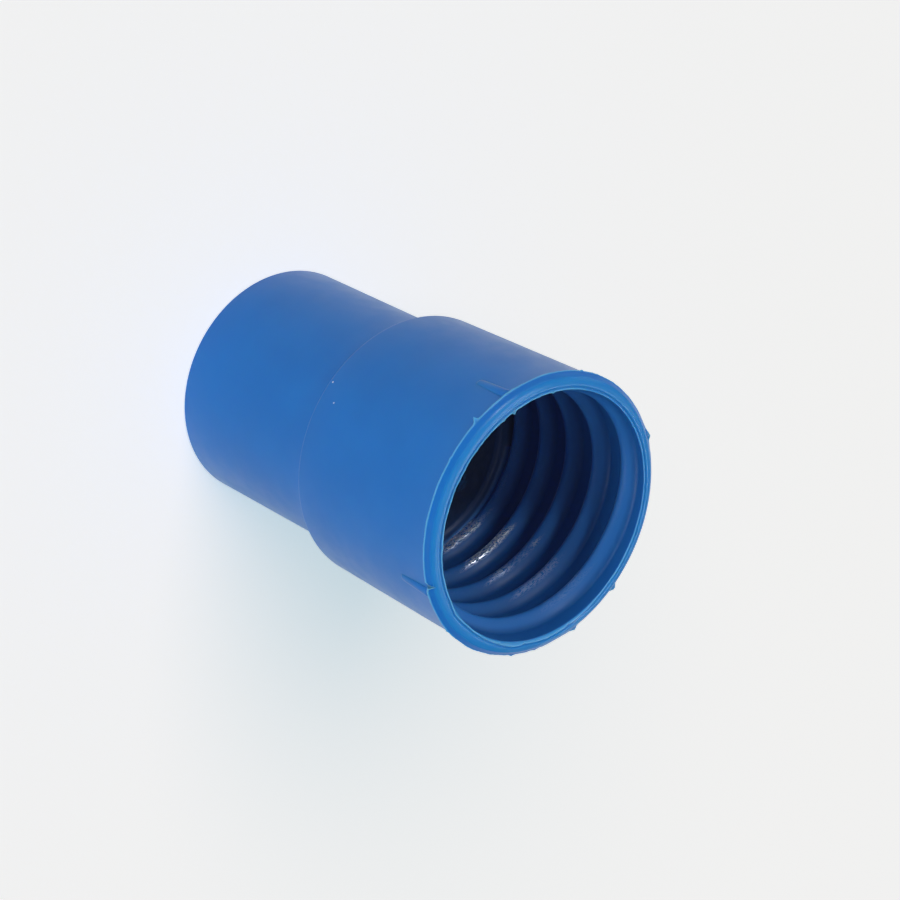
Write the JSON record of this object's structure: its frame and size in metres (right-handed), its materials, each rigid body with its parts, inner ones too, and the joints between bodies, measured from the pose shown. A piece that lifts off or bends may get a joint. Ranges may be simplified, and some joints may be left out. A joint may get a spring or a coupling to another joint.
{
  "type": "hose cuff",
  "caption": "Screw-on hose cuff moulded in one piece: a plain push-fit spigot and a wider socket whose coarse inside thread winds onto a spiral hose.",
  "frame": {"origin": "middle of the spigot's flat end face, on the cuff's axis", "axes": "+Z along the axis from the spigot to the threaded mouth, X and Y through the ribs at the mouth"},
  "size_m": [0.0536, 0.0536, 0.0786],
  "materials": {
    "blue_plastic": "satin blue, moulded"
  },
  "bodies": {
    "root": {"hose_cuff": "blue_plastic"}
  },
  "joints": []
}
